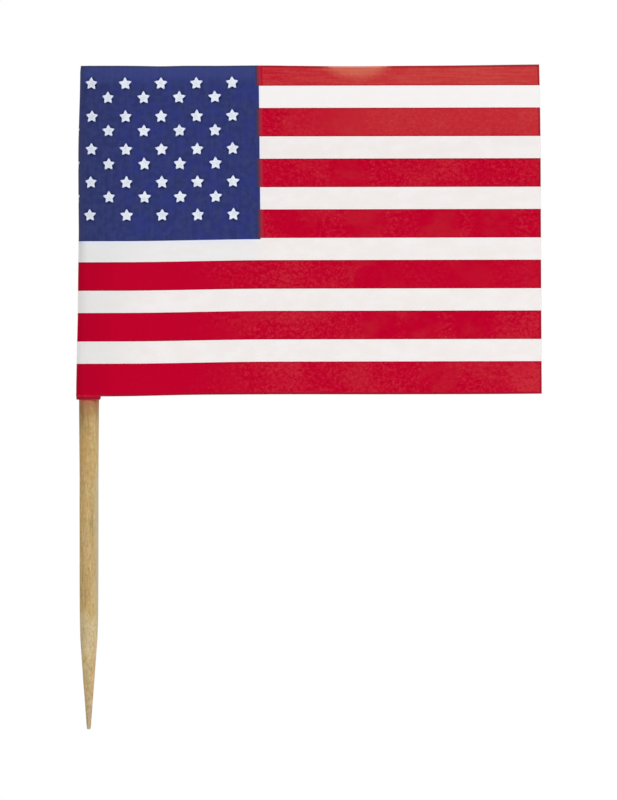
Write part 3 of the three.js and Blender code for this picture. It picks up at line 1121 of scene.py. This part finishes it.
def driedPaste():
    finish, tree = startFinish("driedPaste")
    place = placeOn(tree)
    thick = cloud(place, (1.5, 1.5, 1.5), 4)
    crazed = addNode("TexVoronoi", {"Vector": place, "Scale": 2.2}, feature="DISTANCE_TO_EDGE").outputs[0]
    tone = coats(paste["tone"], (spread(thick, 0.35, 0.65), paste["deep"]))
    relief = (thick, 0.03), (spread(crazed, 0, 0.06), 0.003)
    return endFinish(finish, tone, spread(thick, 0.3, 0.7, 0.28, 0.5), 0.5, *relief)


# A closed shell from two grids of points
def makeShell(name, layers, closed, finish, replaced):
    rows, columns = layers[0][0].shape
    points = np.concatenate([np.stack(layer, -1).reshape(-1, 3) for layer in layers])
    outer = gridFaces(columns, rows, closed)
    inner = [tuple(corner + columns * rows for corner in face[::-1]) for face in outer]
    rims = [(b, a, a + columns * rows, b + columns * rows) for a, b in freeEdges(outer)]
    makePiece(name, points, outer + inner + rims, [finish], replaced)


def makePaste(finish):
    # round the pick, with a wavy lower edge just inside the mouth
    turns = np.linspace(0, 2 * math.pi, 96, endpoint=False)
    turn, up = np.meshgrid(turns, np.linspace(0, 1, 60))
    foot = mouthHeight + paste["mouthGap"] + 0.05 * unevenness(turn, turn * 0.5, 3)
    height = foot + (pickHigh[2] - paste["headGap"] - foot) * up
    wood = pickRadius(height)
    around = np.where(turn <= math.pi, turn, 2 * math.pi - turn)
    hug = wood + paper["hug"]
    reach = hug + (sleeveRadius(height) - hug) * ease(around / (math.pi / 2)) - paper["thickness"] + 0.004
    filled = np.where(turn > math.radians(paper["wrapEnd"]), paste["behind"], 1)
    thick = np.maximum(reach - wood, 0.012) * filled * (1 - 0.4 * bump(up, 0, 0.004))
    radii = wood - paste["soak"], wood + thick
    layers = [(-radius * np.sin(turn), -radius * np.cos(turn), height) for radius in radii]
    makeShell("paste_round_pick", layers, True, finish, "pick_paste")

    # film between the leaves, with a drawn-back ragged edge
    s, z = np.meshgrid(np.linspace(0, 1, 70), np.linspace(0, 1, 50))
    edge = paste["filmInset"] + 0.12 * unevenness(s * 17, z * 13, 5)
    low = footHeight(s * 44) + edge
    height = low + (topHeight(s * 44) - edge - low) * z
    near = sleeveRadius(height) + paper["backRun"] + 0.1
    near = near + 0.08 * unevenness(height * 1.1, height * 0.4, 6)
    x = near + (flyReach(height) - edge - near) * s
    front = paper["thickness"] - leafDepth
    layers = [(x, y + leafBow(x, height), height) for y in (front, front + paper["filmThickness"])]
    makeShell("paste_film", layers, False, finish, "leaf_paste")


makePaste(driedPaste())
print("paste laid")

# Floor, light and background
studio = {
    "floorDrop": 25,  # millimetres below the point
    "floorReach": 150,
    "floorMiddle": 20,
    "shadowReach": 55,  # the shadow shows this far out, then the floor turns plain white
    "floorGlow": 0.5,
    "ambient": 0.43,
    "key": ((440, -520, 350), 280, 2.85),  # place, size, power
    "fill": ((-500, -400, 220), 300, 0.88),
    "backLamp": ((140, 600, 300), 380, 2.4),
}


def makeFloor():
    size, middle = studio["floorReach"], studio["floorMiddle"]
    z = -studio["floorDrop"]
    turns = np.linspace(0, 2 * math.pi, 64, endpoint=False)
    rim = [(size * math.cos(turn) + middle, size * math.sin(turn), z) for turn in turns]
    floor = addMesh("floor", rim, [tuple(range(64))])
    finish, tree = startFinish("whiteFloor")
    coords = addNode("TexCoord", {}, tree).outputs["Object"]
    speckle = addNode("TexNoise", {"Vector": coords, "Scale": 900}).outputs["Fac"]
    tone = coats((246, 246, 246), (speckle, (250, 250, 250)))
    endFinish(finish, tone, spread(speckle, 0.3, 0.7, 0.85, 0.95), 0.1)
    glow = addNode("Emission", {"Color": (1, 1, 1, 1), "Strength": 1.05}, tree).outputs[0]
    ray = addNode("LightPath", {}, tree).outputs["Is Camera Ray"]
    away = distanceFrom((middle * mm, 0, z * mm), coords)
    share = times(ray, spread(away, studio["shadowReach"] * mm, (size - 5) * mm, studio["floorGlow"], 1))
    plain = tree.nodes["Principled BSDF"].outputs[0]
    both = addNode("MixShader", {0: share, 1: plain, 2: glow}).outputs[0]
    tree.links.new(both, tree.nodes["Material Output"].inputs[0])
    floor.data.materials.append(finish)


def makeLamp(name):
    place, size, power = studio[name]
    lamp = addObject(name, bpy.data.lights.new(name, "AREA"))
    lamp.data.shape = "DISK"
    lamp.data.size = size * mm
    lamp.data.energy = power
    lamp.location = np.array(place) * mm
    middle = (Vector(cadBox[0]) + Vector(cadBox[1])) / 2
    lamp.rotation_euler = (middle - lamp.location).to_track_quat("-Z", "Y").to_euler()


# White for whatever looks at it, and a plain level of light for everything else
def makeWorld():
    world = bpy.data.worlds.new("white")
    bpy.context.scene.world = world
    world.use_nodes = True
    tree = world.node_tree
    rays = addNode("LightPath", {}, tree).outputs
    kinds = ("Camera", "Glossy", "Transmission")
    seen = combine("MAXIMUM", *(rays["Is " + kind + " Ray"] for kind in kinds))
    background = tree.nodes["Background"].inputs
    background["Color"].default_value = (1, 1, 1, 1)
    tree.links.new(spread(seen, 0, 1, studio["ambient"], 1), background["Strength"])


makeFloor()
for name in ("key", "fill", "backLamp"):
    makeLamp(name)
makeWorld()
bpy.context.scene.view_settings.view_transform = "Standard"
print("studio lit")
